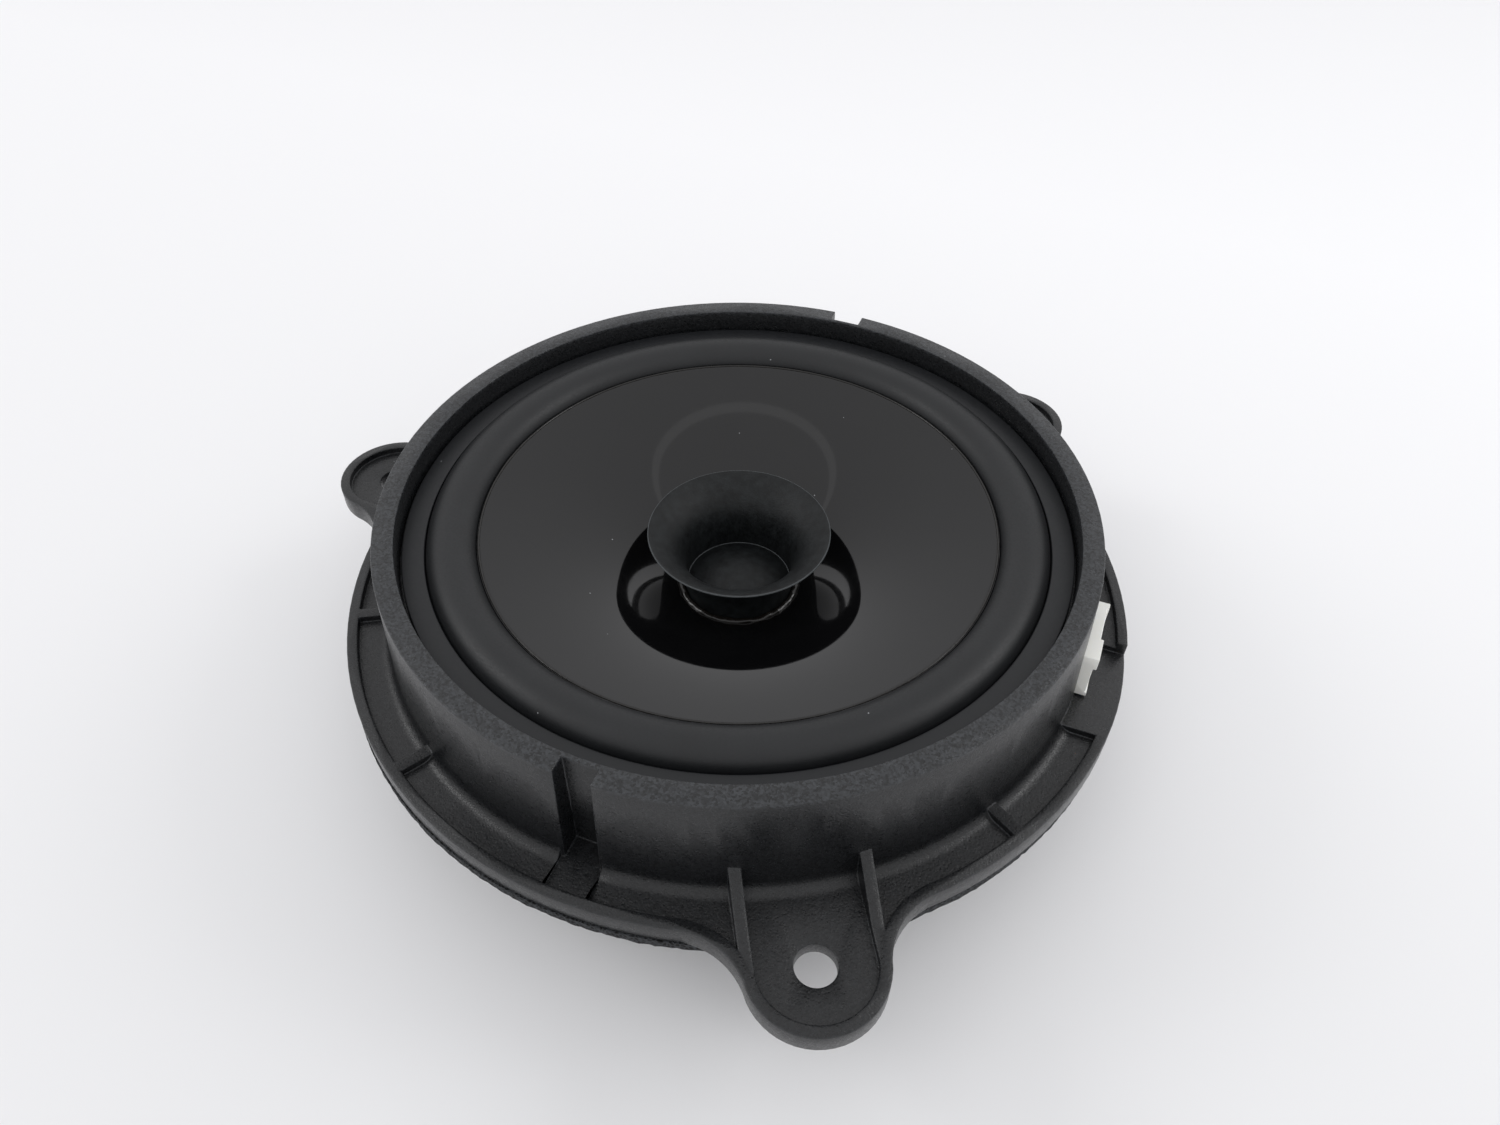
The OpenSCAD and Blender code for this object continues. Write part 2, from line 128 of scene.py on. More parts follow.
def glassFilledAbs():  # moulded in an eroded tool: sandy grain, soft sheen, the filler palest on the rim
    look = {"skin": "#070809", "flow": "#0e0f11", "sand": "#44474b", "worn": "#4d5054",
            "sandMm": 0.45, "grainMm": 0.9, "flowMm": 14, "edgeMm": 0.5, "rimFrom": 29.9, "rimTo": 30.7}
    # the grain is drawn coarser than a real one, so that it shows
    made, tree, shader, at = newSurface("glassFilledAbsMoulded", {"IOR": 1.54})
    flow = addNode(tree, "TexNoise", {"Scale": grain(look["flowMm"]), "Detail": 3}, {"Vector": at})
    base = addNode(tree, "Mix", {"data_type": "RGBA", 6: linear(look["skin"]), 7: linear(look["flow"])},
                   {0: flow.outputs["Fac"]})
    sand = addNode(tree, "TexVoronoi", {"Scale": grain(look["sandMm"])}, {"Vector": at})
    chance = addNode(tree, "SeparateColor", {}, {"Color": sand.outputs["Color"]})
    pale = addNode(tree, "MapRange", {"From Min": 0.1, "From Max": 1}, {"Value": chance.outputs[0]})
    height = addNode(tree, "SeparateXYZ", {}, {"Vector": at})
    rim = addNode(tree, "MapRange", {"From Min": look["rimFrom"] * mm, "From Max": look["rimTo"] * mm,
                                     "To Min": 0.1, "To Max": 0.5}, {"Value": height.outputs["Z"]})
    shown = addNode(tree, "Math", {"operation": "MULTIPLY"}, {0: pale.outputs[0], 1: rim.outputs[0]})
    speckled = addNode(tree, "Mix", {"data_type": "RGBA", 7: linear(look["sand"])},
                       {0: shown.outputs[0], 6: base.outputs[2]})
    rounded, edge = softEdges(tree, look["edgeMm"])
    rub = addNode(tree, "TexNoise", {"Scale": grain(2.5), "Detail": 5}, {"Vector": at})
    wear = addNode(tree, "MapRange", {"From Min": 0.35, "From Max": 0.7, "To Max": 0.9},
                   {"Value": rub.outputs["Fac"]})
    worn = addNode(tree, "Math", {"operation": "MULTIPLY"}, {0: wear.outputs[0], 1: edge})
    colour = addNode(tree, "Mix", {"data_type": "RGBA", 7: linear(look["worn"])},
                     {0: worn.outputs[0], 6: speckled.outputs[2]})
    tree.links.new(dusted(tree, at, colour.outputs[2], 0.05), shader.inputs["Base Color"])
    fine = addNode(tree, "TexNoise", {"Scale": grain(look["grainMm"]), "Detail": 5, "Roughness": 0.75},
                   {"Vector": at})
    gloss = addNode(tree, "MapRange", {"From Min": 0.3, "From Max": 0.7, "To Min": 0.2, "To Max": 0.42},
                    {"Value": fine.outputs["Fac"]})
    tree.links.new(gloss.outputs[0], shader.inputs["Roughness"])
    pebble = addNode(tree, "Math", {"operation": "MULTIPLY"},
                     {0: sand.outputs["Distance"], 1: chance.outputs[1]})
    relief = addNode(tree, "Math", {"operation": "ADD"}, {0: pebble.outputs[0], 1: fine.outputs["Fac"]})
    bump = addNode(tree, "Bump", {"Strength": 0.65, "Distance": 0.1 * mm},
                   {"Height": relief.outputs[0], "Normal": rounded})
    tree.links.new(bump.outputs[0], shader.inputs["Normal"])
    return made


def blackPolypropylene():  # moulded against a polished tool: a near mirror with a faint slow ripple
    look = {"body": "#070708", "haze": "#0b0b0c", "rippleMm": 11}
    made, tree, shader, at = newSurface("blackPolypropylenePolished",
                                        {"IOR": 1.5, "Specular IOR Level": 0.53})
    slow = addNode(tree, "TexNoise", {"Scale": grain(look["rippleMm"]), "Detail": 1}, {"Vector": at})
    colour = addNode(tree, "Mix", {"data_type": "RGBA", 6: linear(look["body"]), 7: linear(look["haze"])},
                     {0: slow.outputs["Fac"]})
    tree.links.new(dusted(tree, at, colour.outputs[2], 0.06), shader.inputs["Base Color"])
    fine = addNode(tree, "TexNoise", {"Scale": grain(1.5), "Detail": 4}, {"Vector": at})
    gloss = addNode(tree, "MapRange", {"From Min": 0.3, "From Max": 0.75, "To Min": 0.035, "To Max": 0.07},
                    {"Value": fine.outputs["Fac"]})
    tree.links.new(gloss.outputs[0], shader.inputs["Roughness"])
    bump = addNode(tree, "Bump", {"Strength": 0.12, "Distance": 0.05 * mm}, {"Height": slow.outputs["Fac"]})
    tree.links.new(bump.outputs[0], shader.inputs["Normal"])
    return made


def butylRubber():  # calendered and pressed: matte, a little bloom, fine talc-like grain
    look = {"body": "#0d0e10", "bloom": "#16181a"}
    made, tree, shader, at = newSurface("butylRubberPressed", {"IOR": 1.5})
    cloud = addNode(tree, "TexNoise", {"Scale": grain(9), "Detail": 4}, {"Vector": at})
    colour = addNode(tree, "Mix", {"data_type": "RGBA", 6: linear(look["body"]), 7: linear(look["bloom"])},
                     {0: cloud.outputs["Fac"]})
    tree.links.new(dusted(tree, at, colour.outputs[2], 0.12), shader.inputs["Base Color"])
    fine = addNode(tree, "TexNoise", {"Scale": grain(0.5), "Detail": 3}, {"Vector": at})
    gloss = addNode(tree, "MapRange", {"From Min": 0.3, "From Max": 0.7, "To Min": 0.42, "To Max": 0.54},
                    {"Value": fine.outputs["Fac"]})
    tree.links.new(gloss.outputs[0], shader.inputs["Roughness"])
    bump = addNode(tree, "Bump", {"Strength": 0.25, "Distance": 0.03 * mm}, {"Height": fine.outputs["Fac"]})
    tree.links.new(bump.outputs[0], shader.inputs["Normal"])
    return made


def ringBoard():  # pressed fibre board dyed black: satin with a fine felted grain
    look = {"body": "#0c0d0f", "fibre": "#1b1d20"}
    made, tree, shader, at = newSurface("fibreBoardPressed", {"IOR": 1.48})
    felt = addNode(tree, "TexNoise", {"Scale": grain(0.7), "Detail": 5, "Roughness": 0.6}, {"Vector": at})
    colour = addNode(tree, "Mix", {"data_type": "RGBA", 6: linear(look["body"]), 7: linear(look["fibre"])},
                     {0: felt.outputs["Fac"]})
    tree.links.new(dusted(tree, at, colour.outputs[2], 0.08), shader.inputs["Base Color"])
    gloss = addNode(tree, "MapRange", {"From Min": 0.3, "From Max": 0.7, "To Min": 0.4, "To Max": 0.55},
                    {"Value": felt.outputs["Fac"]})
    tree.links.new(gloss.outputs[0], shader.inputs["Roughness"])
    bump = addNode(tree, "Bump", {"Strength": 0.3, "Distance": 0.04 * mm}, {"Height": felt.outputs["Fac"]})
    tree.links.new(bump.outputs[0], shader.inputs["Normal"])
    return made


def dyedPaperPulp():  # felted pulp, hot pressed and dyed: dull, mottled, short fibres catch the light
    look = {"body": "#070809", "pale": "#1d2021", "fibreMm": 0.7}
    made, tree, shader, at = newSurface("dyedPaperPulpPressed", {"IOR": 1.45, "Specular IOR Level": 0.34})
    mottle = addNode(tree, "TexNoise", {"Scale": grain(2.2), "Detail": 4}, {"Vector": at})
    stretch = addNode(tree, "Mapping", {"Scale": (1, 2.2, 0.7)}, {"Vector": at})
    fibre = addNode(tree, "TexNoise", {"Scale": grain(look["fibreMm"]), "Detail": 5, "Roughness": 0.7,
                                       "Distortion": 0.6}, {"Vector": stretch.outputs[0]})
    both = addNode(tree, "Math", {"operation": "MULTIPLY"},
                   {0: mottle.outputs["Fac"], 1: fibre.outputs["Fac"]})
    spread = addNode(tree, "MapRange", {"From Min": 0.12, "From Max": 0.42}, {"Value": both.outputs[0]})
    colour = addNode(tree, "Mix", {"data_type": "RGBA", 6: linear(look["body"]), 7: linear(look["pale"])},
                     {0: spread.outputs[0]})
    tree.links.new(dusted(tree, at, colour.outputs[2], 0.05), shader.inputs["Base Color"])
    gloss = addNode(tree, "MapRange", {"From Min": 0.3, "From Max": 0.7, "To Min": 0.4, "To Max": 0.58},
                    {"Value": fibre.outputs["Fac"]})
    tree.links.new(gloss.outputs[0], shader.inputs["Roughness"])
    bump = addNode(tree, "Bump", {"Strength": 0.7, "Distance": 0.09 * mm}, {"Height": fibre.outputs["Fac"]})
    tree.links.new(bump.outputs[0], shader.inputs["Normal"])
    return made


def cutPaperEdge():  # the cut edge of the pulp is coloured a paler grey
    made, tree, shader, at = newSurface("dyedPaperPulpCut", {"IOR": 1.45, "Roughness": 0.7})
    fibre = addNode(tree, "TexNoise", {"Scale": grain(0.3), "Detail": 4}, {"Vector": at})
    colour = addNode(tree, "Mix", {"data_type": "RGBA", 6: linear("#2a2c2e"), 7: linear("#55595b")},
                     {0: fibre.outputs["Fac"]})
    tree.links.new(colour.outputs[2], shader.inputs["Base Color"])
    return made


def setAdhesive():  # solvent adhesive laid as a bead and dried: wet-looking skin with small ripples
    look = {"body": "#060606", "thin": "#17130f"}
    made, tree, shader, at = newSurface("contactAdhesiveDried", {"IOR": 1.5})
    ripple = addNode(tree, "TexNoise", {"Scale": grain(1.1), "Detail": 3}, {"Vector": at})
    colour = addNode(tree, "Mix", {"data_type": "RGBA", 6: linear(look["body"]), 7: linear(look["thin"])},
                     {0: ripple.outputs["Fac"]})
    tree.links.new(colour.outputs[2], shader.inputs["Base Color"])
    gloss = addNode(tree, "MapRange", {"From Min": 0.3, "From Max": 0.7, "To Min": 0.1, "To Max": 0.3},
                    {"Value": ripple.outputs["Fac"]})
    tree.links.new(gloss.outputs[0], shader.inputs["Roughness"])
    bump = addNode(tree, "Bump", {"Strength": 0.5, "Distance": 0.12 * mm},
                   {"Height": ripple.outputs["Fac"]})
    tree.links.new(bump.outputs[0], shader.inputs["Normal"])
    return made


def openCellFoam():  # cut from a foamed sheet: the open pores are painted near black as shade, and the cell walls are painted lighter as sparkle at the cut
    look = {"poreShade": "#030303", "wall": "#3a3c3f", "cellMm": 0.9}
    made, tree, shader, at = newSurface("openCellFoamPaintedPoreShade", {"IOR": 1.4, "Roughness": 0.8})
    cells = addNode(tree, "TexVoronoi", {"feature": "DISTANCE_TO_EDGE", "Scale": grain(look["cellMm"])},
                    {"Vector": at})
    wall = addNode(tree, "MapRange", {"From Min": 0.02, "From Max": 0.25, "To Min": 1, "To Max": 0},
                   {"Value": cells.outputs["Distance"]})
    # painted light: shade painted into the pores and a painted sparkle on the cell walls; the cell pattern
    # also drives the bump
    colour = addNode(tree, "Mix", {"data_type": "RGBA", 6: linear(look["poreShade"]), 7: linear(look["wall"])},
                     {0: wall.outputs[0]})
    tree.links.new(colour.outputs[2], shader.inputs["Base Color"])
    bump = addNode(tree, "Bump", {"Strength": 0.9, "Distance": 0.25 * mm}, {"Height": wall.outputs[0]})
    tree.links.new(bump.outputs[0], shader.inputs["Normal"])
    return made


def resinTreatedCotton():  # woven cotton dipped in phenolic resin: tan threads, darker where resin pools
    look = {"thread": "#b98f4e", "resin": "#7c5524", "threadMm": 0.55}
    made, tree, shader, at = newSurface("cottonClothResinTreated", {"IOR": 1.5, "Roughness": 0.6})
    lines = [addNode(tree, "TexWave", {"bands_direction": way, "Scale": grain(look["threadMm"]) / math.tau,
                                       "Distortion": 0.4, "Detail": 1}, {"Vector": at}).outputs["Fac"]
             for way in ("X", "Y")]
    weave = addNode(tree, "Math", {"operation": "MULTIPLY"}, {0: lines[0], 1: lines[1]})
    pools = addNode(tree, "TexNoise", {"Scale": grain(4), "Detail": 3}, {"Vector": at})
    mixed = addNode(tree, "Math", {"operation": "MULTIPLY"}, {0: weave.outputs[0], 1: pools.outputs["Fac"]})
    spread = addNode(tree, "MapRange", {"From Min": 0, "From Max": 0.5}, {"Value": mixed.outputs[0]})
    colour = addNode(tree, "Mix", {"data_type": "RGBA", 6: linear(look["resin"]), 7: linear(look["thread"])},
                     {0: spread.outputs[0]})
    tree.links.new(colour.outputs[2], shader.inputs["Base Color"])
    bump = addNode(tree, "Bump", {"Strength": 0.7, "Distance": 0.12 * mm}, {"Height": weave.outputs[0]})
    tree.links.new(bump.outputs[0], shader.inputs["Normal"])
    return made


def zincPlatedSteel():  # turned or pressed, then plated: fine circular tool lines under a bluish skin
    look = {"bright": "#b4b8bd", "dull": "#8c9196", "lineMm": 0.35}
    made, tree, shader, at = newSurface("mildSteelZincPlated", {"Metallic": 1.0})
    rings = addNode(tree, "TexWave", {"wave_type": "RINGS", "rings_direction": "Z",
                                      "Scale": grain(look["lineMm"]) / math.tau,
                                      "Distortion": 0.6, "Detail": 2}, {"Vector": at})
    stain = addNode(tree, "TexNoise", {"Scale": grain(7), "Detail": 5, "Roughness": 0.6}, {"Vector": at})
    rounded, edge = softEdges(tree, 0.3)
    colour = addNode(tree, "Mix", {"data_type": "RGBA", 6: linear(look["bright"]), 7: linear(look["dull"])},
                     {0: stain.outputs["Fac"]})
    rubbed = addNode(tree, "Mix", {"data_type": "RGBA", 7: linear("#d2d4d6")},
                     {0: edge, 6: colour.outputs[2]})
    tree.links.new(rubbed.outputs[2], shader.inputs["Base Color"])
    gloss = addNode(tree, "MapRange", {"From Min": 0.3, "From Max": 0.7, "To Min": 0.28, "To Max": 0.46},
                    {"Value": stain.outputs["Fac"]})
    tree.links.new(gloss.outputs[0], shader.inputs["Roughness"])
    bump = addNode(tree, "Bump", {"Strength": 0.2, "Distance": 0.03 * mm},
                   {"Height": rings.outputs["Fac"], "Normal": rounded})
    tree.links.new(bump.outputs[0], shader.inputs["Normal"])
    return made


def groundFerrite():  # sintered and ground flat: charcoal, fine crystal sparkle, small chips at the edges
    look = {"body": "#2a2a2c", "spark": "#59595d", "chip": "#171718"}
    made, tree, shader, at = newSurface("strontiumFerriteGround", {"IOR": 2.0, "Specular IOR Level": 0.4})
    crystal = addNode(tree, "TexNoise", {"Scale": grain(0.5), "Detail": 5, "Roughness": 0.75},
                      {"Vector": at})
    spark = addNode(tree, "MapRange", {"From Min": 0.5, "From Max": 0.78},
                    {"Value": crystal.outputs["Fac"]})
    base = addNode(tree, "Mix", {"data_type": "RGBA", 6: linear(look["body"]), 7: linear(look["spark"])},
                   {0: spark.outputs[0]})
    rounded, edge = softEdges(tree, 0.6)
    lumps = addNode(tree, "TexNoise", {"Scale": grain(2), "Detail": 3}, {"Vector": at})
    bitten = addNode(tree, "Math", {"operation": "MULTIPLY"}, {0: lumps.outputs["Fac"], 1: edge})
    colour = addNode(tree, "Mix", {"data_type": "RGBA", 7: linear(look["chip"])},
                     {0: bitten.outputs[0], 6: base.outputs[2]})
    tree.links.new(colour.outputs[2], shader.inputs["Base Color"])
    gloss = addNode(tree, "MapRange", {"From Min": 0.3, "From Max": 0.7, "To Min": 0.45, "To Max": 0.65},
                    {"Value": crystal.outputs["Fac"]})
    tree.links.new(gloss.outputs[0], shader.inputs["Roughness"])
    bump = addNode(tree, "Bump", {"Strength": 0.4, "Distance": 0.08 * mm},
                   {"Height": crystal.outputs["Fac"], "Normal": rounded})
    tree.links.new(bump.outputs[0], shader.inputs["Normal"])
    return made


def naturalNylon():  # moulded unfilled nylon: milky, lets a little light in, satin skin with flow marks
    look = {"body": "#f2f2ee", "flow": "#e8e8e2"}
    made, tree, shader, at = newSurface("nylonNaturalMoulded", {
        "IOR": 1.53, "Subsurface Weight": 0.15, "Subsurface Scale": 1.2 * mm,
        "Subsurface Radius": (1, 0.95, 0.8)})
    flow = addNode(tree, "TexNoise", {"Scale": grain(5), "Detail": 2, "Distortion": 0.8}, {"Vector": at})
    colour = addNode(tree, "Mix", {"data_type": "RGBA", 6: linear(look["body"]), 7: linear(look["flow"])},
                     {0: flow.outputs["Fac"]})
    tree.links.new(colour.outputs[2], shader.inputs["Base Color"])
    fine = addNode(tree, "TexNoise", {"Scale": grain(0.4), "Detail": 3}, {"Vector": at})
    gloss = addNode(tree, "MapRange", {"From Min": 0.3, "From Max": 0.7, "To Min": 0.32, "To Max": 0.45},
                    {"Value": fine.outputs["Fac"]})
    tree.links.new(gloss.outputs[0], shader.inputs["Roughness"])
    bump = addNode(tree, "Bump", {"Strength": 0.2, "Distance": 0.03 * mm}, {"Height": fine.outputs["Fac"]})
    tree.links.new(bump.outputs[0], shader.inputs["Normal"])
    return made


def tinnedBrass():  # stamped strip with a tin skin: soft silvery yellow, drawn lines along the blade
    look = {"tin": "#cbc6b4", "brass": "#b89a55"}
    made, tree, shader, at = newSurface("brassStripTinned", {"Metallic": 1.0})
    along = addNode(tree, "Mapping", {"Scale": (0.15, 1, 1)}, {"Vector": at})
    drawn = addNode(tree, "TexNoise", {"Scale": grain(0.3), "Detail": 4}, {"Vector": along.outputs[0]})
    colour = addNode(tree, "Mix", {"data_type": "RGBA", 6: linear(look["tin"]), 7: linear(look["brass"])},
                     {0: drawn.outputs["Fac"]})
    tree.links.new(colour.outputs[2], shader.inputs["Base Color"])
    gloss = addNode(tree, "MapRange", {"From Min": 0.3, "From Max": 0.7, "To Min": 0.22, "To Max": 0.38},
                    {"Value": drawn.outputs["Fac"]})
    tree.links.new(gloss.outputs[0], shader.inputs["Roughness"])
    bump = addNode(tree, "Bump", {"Strength": 0.2, "Distance": 0.02 * mm}, {"Height": drawn.outputs["Fac"]})
    tree.links.new(bump.outputs[0], shader.inputs["Normal"])
    return made


def tinselBraid():  # copper foil wound on yarn and braided: dull copper with bright flecks
    look = {"copper": "#a8643a", "yarn": "#5a3322"}
    made, tree, shader, at = newSurface("copperTinselBraided", {"Metallic": 0.8})
    fleck = addNode(tree, "TexNoise", {"Scale": grain(0.25), "Detail": 2}, {"Vector": at})
    colour = addNode(tree, "Mix", {"data_type": "RGBA", 6: linear(look["yarn"]), 7: linear(look["copper"])},
                     {0: fleck.outputs["Fac"]})
    tree.links.new(colour.outputs[2], shader.inputs["Base Color"])
    gloss = addNode(tree, "MapRange", {"From Min": 0.3, "From Max": 0.7, "To Min": 0.55, "To Max": 0.3},
                    {"Value": fleck.outputs["Fac"]})
    tree.links.new(gloss.outputs[0], shader.inputs["Roughness"])
    return made


def enamelledCopper():  # drawn wire under clear enamel: warm metal with a glassy coat
    look = {"wire": "#b5602c", "dark": "#8a4218"}
    made, tree, shader, at = newSurface("copperWireEnamelled",
                                        {"Metallic": 1.0, "Coat Weight": 0.7, "Coat Roughness": 0.15})
    tone = addNode(tree, "TexNoise", {"Scale": grain(1.6), "Detail": 3}, {"Vector": at})
    colour = addNode(tree, "Mix", {"data_type": "RGBA", 6: linear(look["wire"]), 7: linear(look["dark"])},
                     {0: tone.outputs["Fac"]})
    tree.links.new(colour.outputs[2], shader.inputs["Base Color"])
    gloss = addNode(tree, "MapRange", {"To Min": 0.2, "To Max": 0.34}, {"Value": tone.outputs["Fac"]})
    tree.links.new(gloss.outputs[0], shader.inputs["Roughness"])
    return made


def polyimideFilm():  # wound film: clear amber, slightly hazy, faint winding marks round it
    look = {"film": "#a9702a", "lap": "#8a5518"}
    made, tree, shader, at = newSurface("polyimideFilmWound", {"IOR": 1.65, "Roughness": 0.25})
    rings = addNode(tree, "TexWave", {"bands_direction": "Z", "Scale": grain(2) / math.tau,
                                      "Distortion": 1.5, "Detail": 2}, {"Vector": at})
    colour = addNode(tree, "Mix", {"data_type": "RGBA", 6: linear(look["film"]), 7: linear(look["lap"])},
                     {0: rings.outputs["Fac"]})
    tree.links.new(colour.outputs[2], shader.inputs["Base Color"])
    bump = addNode(tree, "Bump", {"Strength": 0.15, "Distance": 0.03 * mm},
                   {"Height": rings.outputs["Fac"]})
    tree.links.new(bump.outputs[0], shader.inputs["Normal"])
    return made


def tableWithPaintedLightFalloff():  # matte painted board: the pale ground under the speaker, with painted light, lighter towards the back and darker towards the front
    made, tree, shader, at = newSurface("boardMattePaintedLightFalloff",
                                        {"Roughness": 0.75, "Specular IOR Level": 0.25})
    place = addNode(tree, "SeparateXYZ", {}, {"Vector": at})
    # painted light falloff: the board's colour runs lighter towards the back, where the light is brightest,
    # and darker towards the front
    back = addNode(tree, "MapRange", {"From Min": -0.25, "From Max": 0.3}, {"Value": place.outputs["Y"]})
    colour = addNode(tree, "Mix", {"data_type": "RGBA", 6: linear("#e4e4e5"), 7: linear("#f6f6f7")},
                     {0: back.outputs[0]})
    tree.links.new(colour.outputs[2], shader.inputs["Base Color"])
    return made


looks = {
    "abs": glassFilledAbs(), "cone": blackPolypropylene(), "rubber": butylRubber(), "board": ringBoard(),
    "paper": dyedPaperPulp(), "paperEdge": cutPaperEdge(), "glue": setAdhesive(), "foam": openCellFoam(),
    "cloth": resinTreatedCotton(), "zinc": zincPlatedSteel(), "ferrite": groundFerrite(),
    "nylon": naturalNylon(), "brass": tinnedBrass(),
    "tinsel": tinselBraid(), "copper": enamelledCopper(), "film": polyimideFilm(), "table": tableWithPaintedLightFalloff(),
}
print("materials made:", len(looks))


# tools for shapes

def finishPiece(name, bm, look, smoothUnder=35):  # bmesh to a shaded object
    bmesh.ops.remove_doubles(bm, verts=bm.verts, dist=1e-7)
    mesh = bpy.data.meshes.new(name)
    bm.to_mesh(mesh)
    bm.free()
    if "custom_normal" in mesh.attributes:
        mesh.attributes.remove(mesh.attributes["custom_normal"])
    mesh.materials.clear()
    mesh.materials.append(looks[look])
    mesh.shade_smooth()
    mesh.set_sharp_from_angle(angle=math.radians(smoothUnder))
    piece = bpy.data.objects.new(name, mesh)
    bpy.context.scene.collection.objects.link(piece)
    return piece


def arc(centreR, centreZ, radius, fromAngle, toAngle, steps):  # points of an arc in radius and height
    turns = [math.radians(fromAngle + (toAngle - fromAngle) * i / steps) for i in range(steps + 1)]
    return [(centreR + radius * math.cos(t), centreZ + radius * math.sin(t)) for t in turns]


def thicken(path, wall):  # closed outline of a sheet, with round edges, from its middle line
    points = [Vector(p) for p in path]
    sides = []
    for i, p in enumerate(points):
        ahead = (points[min(i + 1, len(points) - 1)] - points[max(i - 1, 0)]).normalized()
        sides.append(Vector((-ahead.y, ahead.x)) * wall / 2)
    left = [p + s for p, s in zip(points, sides)]
    right = [p - s for p, s in zip(points, sides)][::-1]
    first = (points[0] - points[1]).normalized() * wall * 0.3
    last = (points[-1] - points[-2]).normalized() * wall * 0.3
    tip = [points[-1] + sides[-1] * 0.6 + last, points[-1] - sides[-1] * 0.6 + last]
    tail = [points[0] - sides[0] * 0.6 + first, points[0] + sides[0] * 0.6 + first]
    return [tuple(p) for p in left + tip + right + tail]


def spinOutline(outline, steps, closed=True):  # an outline of (radius, height) in mm turned round the axis
    bm = bmesh.new()
    corners = [bm.verts.new((r * mm, 0, z * mm)) for r, z in outline]
    edges = [bm.edges.new(pair) for pair in zip(corners, corners[1:])]
    if closed:
        edges.append(bm.edges.new((corners[-1], corners[0])))
    bmesh.ops.spin(bm, geom=corners + edges, cent=(0, 0, 0), axis=(0, 0, 1), dvec=(0, 0, 0),
                   angle=math.tau, steps=steps, use_merge=True)
    bmesh.ops.remove_doubles(bm, verts=bm.verts, dist=1e-6)
    bmesh.ops.recalc_face_normals(bm, faces=bm.faces)
    return bm


def roughen(bm, sizeMm, depthMm, seed=0.0, keep=None):  # moves points along their normals by a smooth noise
    bm.normal_update()
    moves = [v.normal * noise.noise(v.co / (sizeMm * mm) + Vector((seed, seed, seed))) * depthMm * mm
             for v in bm.verts]
    for v, move in zip(bm.verts, moves):
        if keep is None or not keep(v.co):
            v.co += move


def addBox(bm, low, high, rounding):  # a box between two corners in mm, edges rounded
    made = bmesh.ops.create_cube(bm, size=1)["verts"]
    size = [h - l for l, h in zip(low, high)]
    middle = [(l + h) / 2 for l, h in zip(low, high)]
    bmesh.ops.scale(bm, vec=[s * mm for s in size], verts=made)
    bmesh.ops.translate(bm, vec=[m * mm for m in middle], verts=made)
    edges = list({e for v in made for e in v.link_edges})
    bmesh.ops.bevel(bm, geom=edges, offset=rounding * mm, offset_type="OFFSET", segments=2,
                    profile=0.5, affect="EDGES", clamp_overlap=True, material=-1)


def blendByRadius(piece, innerR, outerR):  # inner edge goes with the cone, outer edge stays
    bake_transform(piece, "root", "diaphragm", start=(outerR * mm, 0, 0), end=(innerR * mm, 0, 0))
    for v, weight in zip(piece.data.vertices, piece.data.attributes["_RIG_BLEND"].data):
        share = (outerR - v.co.xy.length / mm) / (outerR - innerR)
        share = min(1.0, max(0.0, share))
        weight.value = share * share * (3 - 2 * share)


def roundedPiece(name, node, look, rounding, clamp=True):  # the CAD shape, sharp edges rounded
    bm = bmesh.new()
    bm.from_mesh(nodes[node].data)
    bmesh.ops.remove_doubles(bm, verts=bm.verts, dist=0.002 * mm)
    bmesh.ops.dissolve_degenerate(bm, dist=0.002 * mm, edges=bm.edges)
    bmesh.ops.dissolve_limit(bm, angle_limit=math.radians(0.4), use_dissolve_boundaries=False,
                             verts=bm.verts, edges=bm.edges, delimit={"NORMAL"})
    sharp = [e for e in bm.edges if e.is_convex and e.calc_face_angle() > math.radians(30)]
    bmesh.ops.bevel(bm, geom=sharp, offset=rounding * mm, offset_type="OFFSET", segments=2, profile=0.5,
                    affect="EDGES", clamp_overlap=clamp, material=-1)
    piece = finishPiece(name, bm, look)
    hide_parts(node)
    return piece


# moulded frame

frameMoulding = roundedPiece("frame_moulding", "frame", "abs", 0.22, clamp=False)
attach(frameMoulding, "root")
print("frame rounded")


# foam gasket

foam = {"inner": 80.6, "outer": 93.2, "laidOff": (-0.05, -0.65), "low": -2.45, "high": -0.02,
        "round": 0.5, "cut": 0.22, "steps": 540}


def foamGasket():
    across = [foam["inner"] + foam["round"] + (foam["outer"] - foam["inner"] - 2 * foam["round"]) * i / 14
              for i in range(15)]
    low, high, r = foam["low"], foam["high"], foam["round"]
    outline = arc(foam["inner"] + r, low + r, r, 180, 270, 3)[:-1] + [(x, low) for x in across]
    outline += arc(foam["outer"] - r, low + r, r, 270, 360, 3)[1:] + [(foam["outer"], (low + high) / 2)]
    outline += [(foam["outer"], high)] + [(x, high) for x in across[::-2]] + [(foam["inner"], high)]
    outline += [(foam["inner"], (low + high) / 2)]
    bm = spinOutline(outline, foam["steps"])
    roughen(bm, 1.1, foam["cut"], keep=lambda p: p.z > -0.2 * mm)
    roughen(bm, 9, 0.1, seed=4, keep=lambda p: p.z > -0.2 * mm)
    bmesh.ops.translate(bm, verts=bm.verts, vec=(foam["laidOff"][0] * mm, foam["laidOff"][1] * mm, 0))
    piece = finishPiece("foam_gasket", bm, "foam", 60)
    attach(piece, "root")
    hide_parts("rear_gasket")


foamGasket()
print("foam gasket cut")


# clamp ring, surround and its glue

ring = {"inner": 71.95, "outer": 77.1, "low": 24.12, "high": 25.58, "round": 0.35, "steps": 360}


